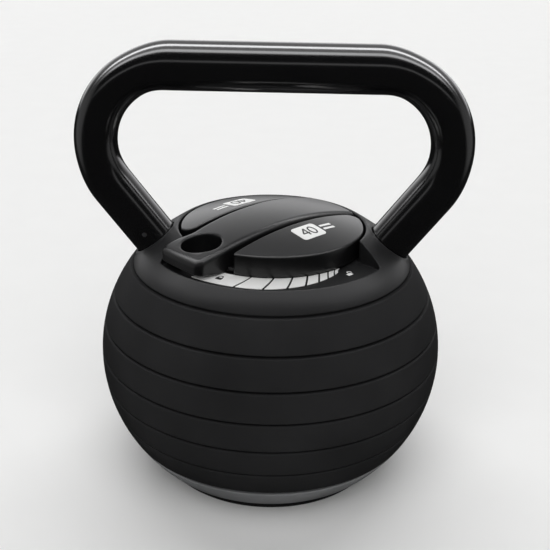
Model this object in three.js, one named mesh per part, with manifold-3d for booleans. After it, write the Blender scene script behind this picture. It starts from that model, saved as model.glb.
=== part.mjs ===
// Adjustable kettlebell: six ring plates clamped between a base and a handled head.
// Millimetres, +Z up. The origin is the centre of the foot's underside.
// The handle lies in the X-Z plane and the front faces -Y.

import * as THREE from 'three';
import { mergeVertices } from 'three/addons/utils/BufferGeometryUtils.js';
import Module from 'manifold-3d';

const wasm = await Module();
wasm.setup();

// ---------- driving dimensions ----------

const GAP = 0.3; // clearance between pieces that touch

// The ball: one ellipse of revolution that the base, the plates and the cover all follow.
const BALL_RADIUS = 109.8;
const BALL_HALF_HEIGHT = 103;
const BALL_CENTRE_Z = 79;

const FOOT_RADIUS = 72.4;
const FOOT_THICKNESS = 7.2;

const BASE_TOP_Z = 24.5; // top of the tapered grey side
const BASE_LAND_Z = 27.1; // top of the recessed land that carries the plates
const BASE_LAND_RADIUS = 91;

const PLATE_COUNT = 6;
const PLATE_PITCH = 18.7;
const PLATE_EDGE = 1.5; // rounding at the rim of each plate
const SEAM_HEIGHT = 0.8; // step round the top of each plate, which shows as a dark seam
const SEAM_DEPTH = 3;
const BORE_RADIUS = 12.4; // centre hole of every plate
const SPIGOT_RADIUS = 23.9;
const SPIGOT_HEIGHT = 1.5;

const HEAD_PLATE_RADIUS = 83.5;
const HEAD_PLATE_THICKNESS = 4;

const FLOOR_Z = 148.5; // floor of the knob well and of the lever track
const WELL_RADIUS = 58.7;
const TRACK_RADIUS = 76.6;
const COVER_BORE_RADIUS = 15.6;

const KNOB_RADIUS = 57.3;
const KNOB_BOTTOM_Z = 149.8;
const CARRIER_RADIUS = 54;
const CARRIER_TOP_Z = 152.3;
const LENS_EDGE_Z = 162.3; // top of the lens caps at the knob's rim
const LENS_CROWN = 8.5; // how far the knob's dome would rise above its rim at the axis
const LENS_OFFSET = 22.3; // distance of each lens cap's straight edge from the lever's centre line

const LEVER_REACH = 75.4; // from the knob's axis to the lever's tip
const LEVER_BODY_HALF_WIDTH = 19.5;
const LEVER_HALF_WIDTH = 18.2; // of its outer end
const FINGER_HOLE_RADIUS = 12;
const FINGER_HOLE_REACH = 57.5;
const LOCK_ANGLE = -135; // degrees; where the lever points when it is locked
const LEVER_TURN = 90; // degrees from locked to unlocked

const SPINDLE_RADIUS = 8;
const SPINDLE_BOTTOM_Z = 12;
const SPINDLE_TOP_Z = 153;
const LOCK_PIN_Z = 17;

const BAR_TOP_Z = 260; // centre line of the grip
const GRIP_HALF_LENGTH = 61.5;
const BEND_RADIUS = 47;
const LEG_ANGLE = 37.2; // degrees from upright
const GRIP_RADIUS = 14.7;
const BEND_BAR_RADIUS = 13.3;
const LEG_BAR_RADIUS = 14;

// ---------- derived values ----------

const STACK_BOTTOM_Z = BASE_LAND_Z + GAP;
const PLATE_THICKNESS = PLATE_PITCH - GAP;
const HEAD_Z = STACK_BOTTOM_Z + PLATE_COUNT * PLATE_PITCH;
const HEAD_TOP_Z = HEAD_Z + HEAD_PLATE_THICKNESS;
const COVER_BOTTOM_Z = HEAD_TOP_Z + GAP;
const SOCKET_RADIUS = SPIGOT_RADIUS + 0.4;
const SOCKET_DEPTH = SPIGOT_HEIGHT + GAP;
const LEG_TILT = THREE.MathUtils.degToRad(LEG_ANGLE);
const LEG_TOP_X = GRIP_HALF_LENGTH + BEND_RADIUS * Math.cos(LEG_TILT);
const LEG_TOP_Z = BAR_TOP_Z - BEND_RADIUS - BEND_RADIUS * Math.sin(LEG_TILT);
const LEG_FOOT_X = LEG_TOP_X - (LEG_TOP_Z - COVER_BOTTOM_Z) * Math.tan(LEG_TILT);

// ---------- materials ----------

const finish = (color, roughness, metalness) => new THREE.MeshStandardMaterial({ color, roughness, metalness });
const BLACK_COATING = finish(0x1f1f20, 0.6, 0.0);
const GLOSS_BLACK = finish(0x0b0b0c, 0.22, 0.0);
const COVER_PLASTIC = finish(0x2a2a2b, 0.45, 0.0);
const KNOB_PLASTIC = finish(0x242425, 0.4, 0.0);
const BASE_GREY = finish(0x6c6d6f, 0.4, 0.1);
const RUBBER = finish(0x111111, 0.85, 0.0);
const STEEL = finish(0x8d8f92, 0.35, 0.9);
const BRONZE = finish(0xa9864f, 0.4, 0.9);
const NYLON = finish(0xd8d6cc, 0.6, 0.0);
const WHITE_PRINT = finish(0xf1f1ef, 0.5, 0.0);

// ---------- helpers ----------

const radians = THREE.MathUtils.degToRad;

/** Radius of the ball at height z. */
function ballRadius(z) {
  const rise = (z - BALL_CENTRE_Z) / BALL_HALF_HEIGHT;
  return BALL_RADIUS * Math.sqrt(1 - rise * rise);
}

/** A point at a radius and an angle in degrees, seen from above. */
function polar(radius, degrees) {
  return new THREE.Vector2(radius * Math.cos(radians(degrees)), radius * Math.sin(radians(degrees)));
}

/** Turns a closed [radius, z] outline about Z; the outer side of the outline runs upward. */
function turned(outline, segments = 40) {
  const points = outline.map(([r, z]) => new THREE.Vector2(r, z));
  points.push(points[0].clone());
  return new THREE.LatheGeometry(points, segments).rotateX(Math.PI / 2);
}

/** A flat outline drawn in X-Y and raised from one height to another. */
function raised(outline, bottom, top) {
  const shape = outline instanceof THREE.Shape ? outline : new THREE.Shape(outline);
  const options = { depth: top - bottom, bevelEnabled: false, curveSegments: 10 };
  return new THREE.ExtrudeGeometry(shape, options).translate(0, 0, bottom);
}

/** An upright round rod. */
function rod(radius, bottom, top, x = 0, y = 0, segments = 16) {
  const height = top - bottom;
  const geometry = new THREE.CylinderGeometry(radius, radius, height, segments).rotateX(Math.PI / 2);
  return geometry.translate(x, y, bottom + height / 2);
}

/** Points along an arc in the X-Y plane, angles in degrees. */
function arc(centre, radius, from, to, steps) {
  const points = [];
  for (let i = 0; i <= steps; i += 1) {
    points.push(polar(radius, from + ((to - from) * i) / steps).add(centre));
  }
  return points;
}

/** A welded manifold solid made from a closed geometry. */
function solid(geometry) {
  const bare = geometry.clone();
  bare.deleteAttribute('normal');
  bare.deleteAttribute('uv');
  const welded = mergeVertices(bare, 1e-4);
  const index = welded.index.array;
  const triangles = [];
  for (let i = 0; i < index.length; i += 3) {
    const [a, b, c] = [index[i], index[i + 1], index[i + 2]];
    if (a !== b && b !== c && c !== a) triangles.push(a, b, c);
  }
  const vertProperties = Float32Array.from(welded.attributes.position.array);
  return new wasm.Manifold(new wasm.Mesh({ numProp: 3, vertProperties, triVerts: Uint32Array.from(triangles) }));
}

/** The geometry of a manifold solid. */
function shell(body) {
  const mesh = body.getMesh();
  const geometry = new THREE.BufferGeometry();
  geometry.setAttribute('position', new THREE.BufferAttribute(Float32Array.from(mesh.vertProperties), 3));
  geometry.setIndex(new THREE.BufferAttribute(Uint32Array.from(mesh.triVerts), 1));
  geometry.computeVertexNormals();
  return geometry;
}

/** A geometry with the given cutters taken out of it. */
function cut(geometry, cutters) {
  let body = solid(geometry);
  for (const cutter of cutters) body = body.subtract(solid(cutter));
  return shell(body);
}

/** The common part of two geometries. */
const common = (first, second) => shell(solid(first).intersect(solid(second)));

const group = new THREE.Group();
group.name = 'kettlebell';

function part(name, geometry, material) {
  const mesh = new THREE.Mesh(geometry, material.clone());
  mesh.name = name;
  group.add(mesh);
}

/** A stepped screw: a wide head above or below a plain shank. */
function screw(x, y, [headRadius, headBottom, headTop], [shankRadius, shankBottom, shankTop], segments = 12) {
  const headAbove = headTop > shankTop;
  const upward = [[0, shankBottom], [shankRadius, shankBottom], [shankRadius, headBottom], [headRadius, headBottom],
    [headRadius, headTop], [0, headTop]];
  const downward = [[0, headBottom], [headRadius, headBottom], [headRadius, headTop], [shankRadius, headTop],
    [shankRadius, shankTop], [0, shankTop]];
  return turned(headAbove ? upward : downward, segments).translate(x, y, 0);
}

// ---------- base ----------

const BASE_BOTTOM_Z = FOOT_THICKNESS + GAP;
const SOCKET_FLANGE_Z = 20.9;
const SOCKET_TOP_Z = 25.2;
const SOCKET_BARREL_RADIUS = 15.7;
const SOCKET_FLANGE_RADIUS = 24;
const SOCKET_BORE_RADIUS = 12;
const SOCKET_SCREW_RING = 20;
const SOCKET_SCREW_ANGLES = [90, 210, 330];

part('foot_pad', turned([[0, 0], [FOOT_RADIUS, 0], [ballRadius(FOOT_THICKNESS) - 0.6, FOOT_THICKNESS],
  [0, FOOT_THICKNESS]]), RUBBER);

const baseSide = [BASE_BOTTOM_Z, 13, 19, BASE_TOP_Z].map((z) => [ballRadius(z), z]);
const basePocket = [[SOCKET_FLANGE_RADIUS + GAP, BASE_LAND_Z], [SOCKET_FLANGE_RADIUS + GAP, SOCKET_FLANGE_Z - GAP],
  [SOCKET_BARREL_RADIUS + GAP, SOCKET_FLANGE_Z - GAP], [SOCKET_BARREL_RADIUS + GAP, 10.5], [0, 10.5]];
const baseBlank = turned([[0, BASE_BOTTOM_Z], ...baseSide, [BASE_LAND_RADIUS, BASE_TOP_Z + 0.3],
  [BASE_LAND_RADIUS, BASE_LAND_Z], ...basePocket]);
const socketScrewPlaces = SOCKET_SCREW_ANGLES.map((angle) => polar(SOCKET_SCREW_RING, angle));
part('base_plate', cut(baseBlank, socketScrewPlaces.map((p) => rod(1.9, 12.5, SOCKET_FLANGE_Z, p.x, p.y, 12))),
  BASE_GREY);

const socketBlank = turned([[SOCKET_BORE_RADIUS, 11], [SOCKET_BARREL_RADIUS, 11],
  [SOCKET_BARREL_RADIUS, SOCKET_FLANGE_Z], [SOCKET_FLANGE_RADIUS, SOCKET_FLANGE_Z],
  [SOCKET_FLANGE_RADIUS, SOCKET_TOP_Z], [SOCKET_BORE_RADIUS, SOCKET_TOP_Z]], 40);
const socketScrewHoles = socketScrewPlaces.flatMap((p) => [rod(1.9, SOCKET_FLANGE_Z - 1, SOCKET_TOP_Z, p.x, p.y, 12),
  rod(2.9, 22.9, SOCKET_TOP_Z + 1, p.x, p.y, 12)]);
part('lock_socket', cut(socketBlank, socketScrewHoles), STEEL);
socketScrewPlaces.forEach((p, i) => {
  part(`socket_screw_${i + 1}`, screw(p.x, p.y, [2.6, 23.2, SOCKET_TOP_Z], [1.6, 13, 23.2]), STEEL);
});

// ---------- plates: 1 is the top one, 6 the bottom one ----------

function plate(bottom) {
  const top = bottom + PLATE_THICKNESS;
  const shoulder = top - SEAM_HEIGHT;
  const rim = [bottom + PLATE_EDGE, (bottom + top) / 2, shoulder - PLATE_EDGE].map((z) => [ballRadius(z), z]);
  return turned([[BORE_RADIUS, bottom + SOCKET_DEPTH], [SOCKET_RADIUS, bottom + SOCKET_DEPTH], [SOCKET_RADIUS, bottom],
    [ballRadius(bottom) - PLATE_EDGE, bottom], ...rim, [ballRadius(shoulder) - PLATE_EDGE, shoulder],
    [ballRadius(top) - SEAM_DEPTH, shoulder], [ballRadius(top) - SEAM_DEPTH, top], [SPIGOT_RADIUS, top], [SPIGOT_RADIUS, top + SPIGOT_HEIGHT], [BORE_RADIUS, top + SPIGOT_HEIGHT]]);
}

for (let i = 1; i <= PLATE_COUNT; i += 1) {
  part(`plate_${i}`, plate(STACK_BOTTOM_Z + (PLATE_COUNT - i) * PLATE_PITCH), BLACK_COATING);
}

// ---------- head: plate, handle, cover ----------

const BUSH_RADIUS = 13.4;
const BUSH_FLANGE_RADIUS = 20;
const BUSH_FLANGE_TOP_Z = COVER_BOTTOM_Z + 1.5;
const BUSH_BORE_RADIUS = SPINDLE_RADIUS + 0.4;
const COVER_SCREWS = [polar(62, -20), polar(62, -160), polar(68, 60), polar(68, 120)];
const HANDLE_SCREW_TOP_Z = 156;
const LEG_PIN_Z = 158;

const headBlank = turned([[BUSH_RADIUS + GAP, HEAD_Z + SOCKET_DEPTH], [SOCKET_RADIUS, HEAD_Z + SOCKET_DEPTH],
  [SOCKET_RADIUS, HEAD_Z], [HEAD_PLATE_RADIUS, HEAD_Z], [HEAD_PLATE_RADIUS, HEAD_TOP_Z],
  [BUSH_RADIUS + GAP, HEAD_TOP_Z]]);
const headHoles = COVER_SCREWS.flatMap((p) => [rod(2.3, HEAD_Z - 1, HEAD_TOP_Z + 1, p.x, p.y, 12),
  rod(4, HEAD_Z - 1, HEAD_Z + 2.2, p.x, p.y, 12)]);
for (const side of [-1, 1]) {
  headHoles.push(rod(5.1, HEAD_Z - 1, HEAD_TOP_Z + 1, side * LEG_FOOT_X, 0));
  headHoles.push(rod(8.4, HEAD_Z - 1, HEAD_Z + 2.2, side * LEG_FOOT_X, 0));
}
part('head_plate', cut(headBlank, headHoles), STEEL);

part('spindle_bush', turned([[BUSH_BORE_RADIUS, HEAD_Z + 2.1], [BUSH_RADIUS, HEAD_Z + 2.1],
  [BUSH_RADIUS, COVER_BOTTOM_Z], [BUSH_FLANGE_RADIUS, COVER_BOTTOM_Z], [BUSH_FLANGE_RADIUS, BUSH_FLANGE_TOP_Z],
  [BUSH_BORE_RADIUS, BUSH_FLANGE_TOP_Z]], 32), BRONZE);

/** Stations along the handle's centre line: where it is, its normal direction and the bar's radius there. */
function handleStations() {
  const half = [];
  const bendCentre = { x: GRIP_HALF_LENGTH, z: BAR_TOP_Z - BEND_RADIUS };
  const footBelow = 14; // the leg runs on below the head plate's top and is trimmed flush
  const legFoot = { x: LEG_FOOT_X - footBelow * Math.tan(LEG_TILT), z: COVER_BOTTOM_Z - footBelow };
  half.push({ ...legFoot, angle: -LEG_TILT, radius: LEG_BAR_RADIUS });
  const steps = 11;
  for (let i = 0; i <= steps; i += 1) {
    const angle = -LEG_TILT + ((Math.PI / 2 + LEG_TILT) * i) / steps;
    const squeeze = Math.sin((Math.PI * i) / steps);
    const ends = i < steps / 2 ? LEG_BAR_RADIUS : GRIP_RADIUS;
    half.push({
      x: bendCentre.x + BEND_RADIUS * Math.cos(angle),
      z: bendCentre.z + BEND_RADIUS * Math.sin(angle),
      angle,
      radius: ends + (BEND_BAR_RADIUS - ends) * Math.min(1, 1.4 * squeeze),
    });
  }
  half.push({ x: GRIP_HALF_LENGTH - 12, z: BAR_TOP_Z, angle: Math.PI / 2, radius: GRIP_RADIUS });
  const mirrored = half.map((s) => ({ ...s, x: -s.x, angle: Math.PI - s.angle })).reverse();
  return [...half, ...mirrored];
}

/** A round bar of changing radius swept through stations that lie in the X-Z plane. */
function sweptBar(stations, sides = 20) {
  const positions = [];
  for (const s of stations) {
    for (let k = 0; k < sides; k += 1) {
      const around = (2 * Math.PI * k) / sides;
      const out = s.radius * Math.cos(around);
      positions.push(s.x + out * Math.cos(s.angle), s.radius * Math.sin(around), s.z + out * Math.sin(s.angle));
    }
  }
  const first = stations[0];
  const last = stations[stations.length - 1];
  positions.push(first.x, 0, first.z, last.x, 0, last.z);
  const index = [];
  const firstCentre = stations.length * sides;
  const lastRing = (stations.length - 1) * sides;
  for (let k = 0; k < sides; k += 1) {
    const next = (k + 1) % sides;
    for (let ring = 0; ring < lastRing; ring += sides) {
      index.push(ring + k, ring + next, ring + sides + next);
      index.push(ring + k, ring + sides + next, ring + sides + k);
    }
    index.push(firstCentre, next, k);
    index.push(firstCentre + 1, lastRing + k, lastRing + next);
  }
  const geometry = new THREE.BufferGeometry();
  geometry.setAttribute('position', new THREE.Float32BufferAttribute(positions, 3));
  geometry.setIndex(index);
  return geometry;
}

const legPinX = -(LEG_FOOT_X + (LEG_PIN_Z - COVER_BOTTOM_Z) * Math.tan(LEG_TILT));
const legPin = (radius, length) => new THREE.CylinderGeometry(radius, radius, length, 12).translate(legPinX, 0, LEG_PIN_Z);
const belowFoot = new THREE.BoxGeometry(300, 60, 40).translate(0, 0, COVER_BOTTOM_Z - 20);
// The feet are relieved on the inside so that a wall of the cover fits between them and the knob.
const wellWall = (thickness) => rod(WELL_RADIUS + thickness, COVER_BOTTOM_Z - 2, 165, 0, 0, 48);
const handleCutters = [belowFoot, wellWall(2.3), legPin(1.8, 40)];
for (const side of [-1, 1]) handleCutters.push(rod(4.9, COVER_BOTTOM_Z - 1, HANDLE_SCREW_TOP_Z + 1, side * LEG_FOOT_X, 0));
part('handle_bar', cut(sweptBar(handleStations()), handleCutters), GLOSS_BLACK);
part('leg_pin', legPin(1.5, 2 * LEG_BAR_RADIUS), STEEL);
for (const [name, side] of [['left', -1], ['right', 1]]) {
  const head = [8, HEAD_Z + 0.2, HEAD_Z + 1.9];
  const shank = [4.6, HEAD_Z + 1.9, HANDLE_SCREW_TOP_Z];
  part(`handle_screw_${name}`, screw(side * LEG_FOOT_X, 0, head, shank, 16), STEEL);
}

const domeSide = [[87.6, HEAD_Z + 0.1], [87.3, 141.2], [84.8, 144.6], [81.4, 147.6], [77.2, 150.7], [73, 153.7],
  [68.5, 156.8], [63.8, 160], [60, 162]];
const coverBlank = turned([[COVER_BORE_RADIUS, BUSH_FLANGE_TOP_Z + GAP], [BUSH_FLANGE_RADIUS + 0.6, BUSH_FLANGE_TOP_Z + GAP],
  [BUSH_FLANGE_RADIUS + 0.6, COVER_BOTTOM_Z], [HEAD_PLATE_RADIUS + 0.4, COVER_BOTTOM_Z],
  [HEAD_PLATE_RADIUS + 0.4, HEAD_Z + 0.1], ...domeSide, [WELL_RADIUS, 162], [WELL_RADIUS, FLOOR_Z],
  [COVER_BORE_RADIUS, FLOOR_Z]], 48);

/** Plan of the lever's track: its ends are parallel to the lever's sides at both stops. */
function trackOutline() {
  const wall = LEVER_HALF_WIDTH + 1.2;
  const inner = Math.hypot(50, wall);
  const spread = LEVER_TURN / 2;
  const innerHalf = spread + THREE.MathUtils.radToDeg(Math.atan2(wall, 50));
  const outerHalf = spread + THREE.MathUtils.radToDeg(Math.asin(wall / TRACK_RADIUS));
  return [polar(inner, -90 - innerHalf), ...arc(new THREE.Vector2(), TRACK_RADIUS, -90 - outerHalf, -90 + outerHalf, 18),
    polar(inner, -90 + innerHalf)];
}

const coverCutters = [raised(trackOutline(), FLOOR_Z, FLOOR_Z + 30)];
for (const side of [-1, 1]) {
  const legHole = new THREE.CylinderGeometry(LEG_BAR_RADIUS + 0.5, LEG_BAR_RADIUS + 0.5, 80, 28);
  legHole.rotateX(Math.PI / 2).rotateY(side * LEG_TILT).translate(side * LEG_FOOT_X, 0, COVER_BOTTOM_Z);
  const aboveFoot = new THREE.BoxGeometry(300, 80, 60).translate(0, 0, COVER_BOTTOM_Z - 0.2 + 30);
  coverCutters.push(cut(common(legHole, aboveFoot), [wellWall(1.8)]));
}
for (const p of COVER_SCREWS) coverCutters.push(rod(1.9, COVER_BOTTOM_Z - 1, 153.5, p.x, p.y, 12));
part('top_cover', cut(coverBlank, coverCutters), COVER_PLASTIC);
COVER_SCREWS.forEach((p, i) => {
  part(`cover_screw_${i + 1}`, screw(p.x, p.y, [3.6, HEAD_Z + 0.2, HEAD_Z + 1.9], [1.6, HEAD_Z + 1.9, 153]), STEEL);
});

// The printed scale: a crescent on the track's floor that narrows toward the unlocked end.
const SCALE_INNER_RADIUS = 56.5;
const SCALE_OUTER_RADIUS = 72;
const SCALE_START = -127; // degrees; its ends and the angle where it starts to narrow
const SCALE_NARROWS = -95;
const SCALE_END = -42;
const scaleOuter = [];
for (let i = 0; i <= 14; i += 1) {
  const angle = THREE.MathUtils.lerp(SCALE_START, SCALE_END, i / 14);
  const narrowed = Math.max(0, (angle - SCALE_NARROWS) / (SCALE_END - SCALE_NARROWS));
  scaleOuter.push(polar(SCALE_OUTER_RADIUS - 12 * narrowed ** 1.6, angle));
}
const scaleInner = arc(new THREE.Vector2(), SCALE_INNER_RADIUS, SCALE_END - 4, SCALE_START, 10);
part('scale_ring', raised([...scaleOuter, ...scaleInner], FLOOR_Z + GAP, FLOOR_Z + 0.7), WHITE_PRINT);

// ---------- knob: carrier, lens caps, lever, spindle ----------

// Everything that turns is drawn with the lever along +X and then turned to the locked angle.
const toLocked = (geometry) => geometry.rotateZ(radians(LOCK_ANGLE));

part('friction_washer', turned([[17, FLOOR_Z + GAP], [30, FLOOR_Z + GAP], [30, FLOOR_Z + 1], [17, FLOOR_Z + 1]], 32), NYLON);

const COLLAR_RADIUS = 13;
const COLLAR_TOP_Z = 147.1;
const HUB_RADIUS = 14;
const HUB_TOP_Z = 156.5;
part('knob_carrier', turned([[SPINDLE_RADIUS + 0.4, COLLAR_TOP_Z + GAP], [COVER_BORE_RADIUS - 0.4, COLLAR_TOP_Z + GAP],
  [COVER_BORE_RADIUS - 0.4, KNOB_BOTTOM_Z], [CARRIER_RADIUS, KNOB_BOTTOM_Z], [CARRIER_RADIUS, CARRIER_TOP_Z],
  [HUB_RADIUS, CARRIER_TOP_Z], [HUB_RADIUS, HUB_TOP_Z], [3.4, HUB_TOP_Z], [3.4, SPINDLE_TOP_Z + GAP],
  [SPINDLE_RADIUS + 0.4, SPINDLE_TOP_Z + GAP]]), KNOB_PLASTIC);

const carrierRoom = [rod(CARRIER_RADIUS + GAP, KNOB_BOTTOM_Z - 1, CARRIER_TOP_Z + GAP, 0, 0, 48),
  rod(HUB_RADIUS + GAP, KNOB_BOTTOM_Z, HUB_TOP_Z + GAP, 0, 0, 32)];

/** Height of the knob's domed top at a radius. */
const crownZ = (r) => LENS_EDGE_Z + LENS_CROWN * (1 - (r / KNOB_RADIUS) ** 2);

/** Plan of a lens cap on the +Y side of the lever: a segment of the knob's circle. */
function lensOutline() {
  const tipAngle = THREE.MathUtils.radToDeg(Math.asin(LENS_OFFSET / KNOB_RADIUS));
  return arc(new THREE.Vector2(), KNOB_RADIUS, tipAngle, 180 - tipAngle, 20);
}

const crownRadii = [KNOB_RADIUS + 1, 52, 46, 40, 34, 28, 20, 10];
const crownBlank = turned([[0, KNOB_BOTTOM_Z], [KNOB_RADIUS + 1, KNOB_BOTTOM_Z],
  ...crownRadii.map((r) => [r, crownZ(r)]), [0, crownZ(0)]]);
const lens = cut(common(raised(lensOutline(), KNOB_BOTTOM_Z, LENS_EDGE_Z + 10), crownBlank), carrierRoom);
part('lens_cap_front', toLocked(lens.clone()), KNOB_PLASTIC);
part('lens_cap_rear', toLocked(lens.clone().rotateZ(Math.PI)), KNOB_PLASTIC);

/** Plan of the lever: a broad bar across the knob, a little narrower at its rounded outer end. */
function leverOutline() {
  const corner = 4.8;
  const tip = LEVER_REACH - 1.6;
  const tailAngle = THREE.MathUtils.radToDeg(Math.asin(LEVER_BODY_HALF_WIDTH / KNOB_RADIUS));
  const tail = arc(new THREE.Vector2(), KNOB_RADIUS, 180 + tailAngle, 180 - tailAngle, 6);
  const upper = [new THREE.Vector2(36, LEVER_BODY_HALF_WIDTH), new THREE.Vector2(54, LEVER_HALF_WIDTH),
    ...arc(new THREE.Vector2(tip - corner, LEVER_HALF_WIDTH - corner), corner, 75, 20, 4),
    new THREE.Vector2(LEVER_REACH, 0)];
  const lower = upper.slice(0, -1).map((p) => new THREE.Vector2(p.x, -p.y)).reverse();
  return [...lower, ...tail, ...upper].reverse();
}

// Side view of the lever, [along, z]: domed over the knob, flatter at the finger hole, bent down at the tip.
const leverSide = [[-KNOB_RADIUS - 1, KNOB_BOTTOM_Z], [60, KNOB_BOTTOM_Z], [67, 151.6], [LEVER_REACH + 1, 152.6],
  [LEVER_REACH + 1, 157], [74.6, 160], [71.5, 162.3], [66, 164], [58, 165.2], [50, 165.8], [40, 167.1], [30, 168.9],
  [15, 170.6], [0, 171.2], [-15, 170.6], [-30, 168.9], [-45, 166], [-KNOB_RADIUS - 1, 162.6]];
const leverProfile = new THREE.Shape(leverSide.map(([x, z]) => new THREE.Vector2(x, z)));
const leverBody = new THREE.ExtrudeGeometry(leverProfile, { depth: 60, bevelEnabled: false });
leverBody.rotateX(Math.PI / 2).translate(0, 30, 0);
const leverBlank = common(raised(leverOutline(), KNOB_BOTTOM_Z, LENS_EDGE_Z + 12), leverBody);
part('lock_lever', toLocked(cut(leverBlank, [...carrierRoom, rod(5.4, HUB_TOP_Z, 160.2),
  rod(FINGER_HOLE_RADIUS, KNOB_BOTTOM_Z - 5, 180, FINGER_HOLE_REACH, 0, 32)])), KNOB_PLASTIC);

/** A printed label lying on a lens cap, at a reach and an angle from +X, its reading direction turned from +X. */
function label(reach, angle, turn) {
  const half = { x: 9.2, y: 6.8 };
  const corner = 3;
  const outline = [];
  for (const [sx, sy, from] of [[1, 1, 0], [-1, 1, 90], [-1, -1, 180], [1, -1, 270]]) {
    const centre = new THREE.Vector2(sx * (half.x - corner), sy * (half.y - corner));
    outline.push(...arc(centre, corner, from, from + 90, 3));
  }
  const slope = Math.atan((2 * LENS_CROWN * reach) / KNOB_RADIUS ** 2);
  const plateGeometry = raised(outline, 0, 0.3).rotateZ(radians(turn - angle));
  return plateGeometry.rotateY(slope).translate(reach, 0, crownZ(reach) + GAP).rotateZ(radians(angle));
}

part('label_front', label(35, -50, 45), WHITE_PRINT);
part('label_rear', label(35, 130, 225), WHITE_PRINT);

part('spindle', cut(turned([[0, SPINDLE_BOTTOM_Z], [SPINDLE_RADIUS, SPINDLE_BOTTOM_Z], [SPINDLE_RADIUS, HEAD_Z + 0.1],
  [7, HEAD_Z + 0.1], [7, HEAD_Z + 1.8], [SPINDLE_RADIUS, HEAD_Z + 1.8], [SPINDLE_RADIUS, BUSH_FLANGE_TOP_Z + GAP],
  [COLLAR_RADIUS, BUSH_FLANGE_TOP_Z + GAP], [COLLAR_RADIUS, COLLAR_TOP_Z], [SPINDLE_RADIUS, COLLAR_TOP_Z],
  [SPINDLE_RADIUS, SPINDLE_TOP_Z], [3.3, SPINDLE_TOP_Z], [3.3, 143], [0, 143]], 20),
[new THREE.CylinderGeometry(3.3, 3.3, 40, 16).translate(0, 0, LOCK_PIN_Z)]), STEEL);
part('lock_pin', new THREE.CylinderGeometry(3, 3, 22.8, 16).translate(0, 0, LOCK_PIN_Z), STEEL);
part('spindle_clip', turned([[7.3, HEAD_Z + 0.4], [11, HEAD_Z + 0.4], [11, HEAD_Z + 1.5], [7.3, HEAD_Z + 1.5]], 24), STEEL);
part('knob_screw', screw(0, 0, [5, HUB_TOP_Z + GAP, 159.8], [3, 144, HUB_TOP_Z + GAP], 16), STEEL);

export default group;
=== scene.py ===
"""Looks of an adjustable kettlebell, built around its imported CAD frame.

Every length is in metres, in the frame's own axes: +Z up along the spindle, the handle in the
X-Z plane and the front facing -Y. Surfaces are worked out with numpy as grids of points.
"""

import logging
import math
from dataclasses import dataclass
from enum import Enum
from typing import Callable, Sequence

import bmesh
import bpy
import numpy as np
from bpy.types import Node, NodeSocket, NodeTree, Object
from mathutils import Matrix, Vector


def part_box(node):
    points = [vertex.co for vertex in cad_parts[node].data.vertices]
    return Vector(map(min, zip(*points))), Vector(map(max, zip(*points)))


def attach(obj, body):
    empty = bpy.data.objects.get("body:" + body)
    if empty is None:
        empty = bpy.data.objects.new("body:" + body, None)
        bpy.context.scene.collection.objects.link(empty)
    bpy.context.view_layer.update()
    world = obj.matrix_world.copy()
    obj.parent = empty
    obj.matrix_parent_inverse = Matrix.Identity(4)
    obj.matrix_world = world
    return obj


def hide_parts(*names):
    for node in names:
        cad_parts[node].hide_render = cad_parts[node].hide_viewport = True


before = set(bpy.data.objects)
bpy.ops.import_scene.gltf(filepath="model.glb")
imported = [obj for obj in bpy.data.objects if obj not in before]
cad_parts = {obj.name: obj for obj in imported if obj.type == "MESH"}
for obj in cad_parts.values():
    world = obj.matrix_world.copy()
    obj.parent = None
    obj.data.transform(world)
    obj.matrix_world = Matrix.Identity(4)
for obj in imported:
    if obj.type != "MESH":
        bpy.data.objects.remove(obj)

logging.basicConfig(level=logging.INFO, format="%(message)s")
LOG = logging.getLogger("kettlebell")

MM = 0.001
PRINT_THICKNESS = 0.06 * MM
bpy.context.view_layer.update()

Array = np.ndarray
Heights = Callable[[Array, Array], Array]


def polar(radius: Array | float, degrees: Array | float) -> Array:
    """Plan points at a radius and an angle.

    Args:
        radius: distance from the axis.
        degrees: angle from +X, counter-clockwise seen from above.

    Returns:
        Points with x = r cos(a) and y = r sin(a) in the last axis.
    """
    angle = np.radians(degrees)
    return np.stack(np.broadcast_arrays(radius * np.cos(angle), radius * np.sin(angle)), axis=-1)


def full_turn(count: int) -> Array:
    """Angles round a full turn in radians, the last one not repeated."""
    return np.linspace(0, 2 * np.pi, count, endpoint=False)


def turn_plan(points: Array, degrees: float) -> Array:
    """Turns plan points about the axis by an angle in degrees."""
    angle = math.radians(degrees)
    turn = np.array([[math.cos(angle), math.sin(angle)], [-math.sin(angle), math.cos(angle)]])
    return points @ turn


def rounded_path(corners: Sequence[Sequence[float]], radii: Sequence[float], steps: int = 6) -> Array:
    """A closed outline whose corners are replaced by arcs.

    Each arc touches both sides at r / tan(half the corner's angle) from the corner, and its points
    are a slerp between the two touching points about the arc's centre.

    Args:
        corners: the outline's corners, in order.
        radii: the rounding of each corner; 0 keeps it sharp.
        steps: pieces per arc.

    Returns:
        The points of the outline, not repeated at its end.
    """
    points = np.asarray(corners, float)
    made = []
    for before, here, after, radius in zip(np.roll(points, 1, 0), points, np.roll(points, -1, 0), radii):
        if radius <= 0:
            made.append(here[None])
            continue
        a, b = before - here, after - here
        reach = 0.45 * min(np.linalg.norm(a), np.linalg.norm(b))
        a, b = a / np.linalg.norm(a), b / np.linalg.norm(b)
        half = math.acos(float(np.clip(a @ b, -1, 1))) / 2
        touch = min(radius / math.tan(half), reach)
        centre = here + (a + b) / np.linalg.norm(a + b) * touch / math.cos(half)
        start, end = here + a * touch - centre, here + b * touch - centre
        swing = math.pi - 2 * half
        share = np.linspace(0, 1, steps + 1)[:, None]
        made.append(centre + (np.sin((1 - share) * swing) * start + np.sin(share * swing) * end) / math.sin(swing))
    return np.vstack(made)


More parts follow.
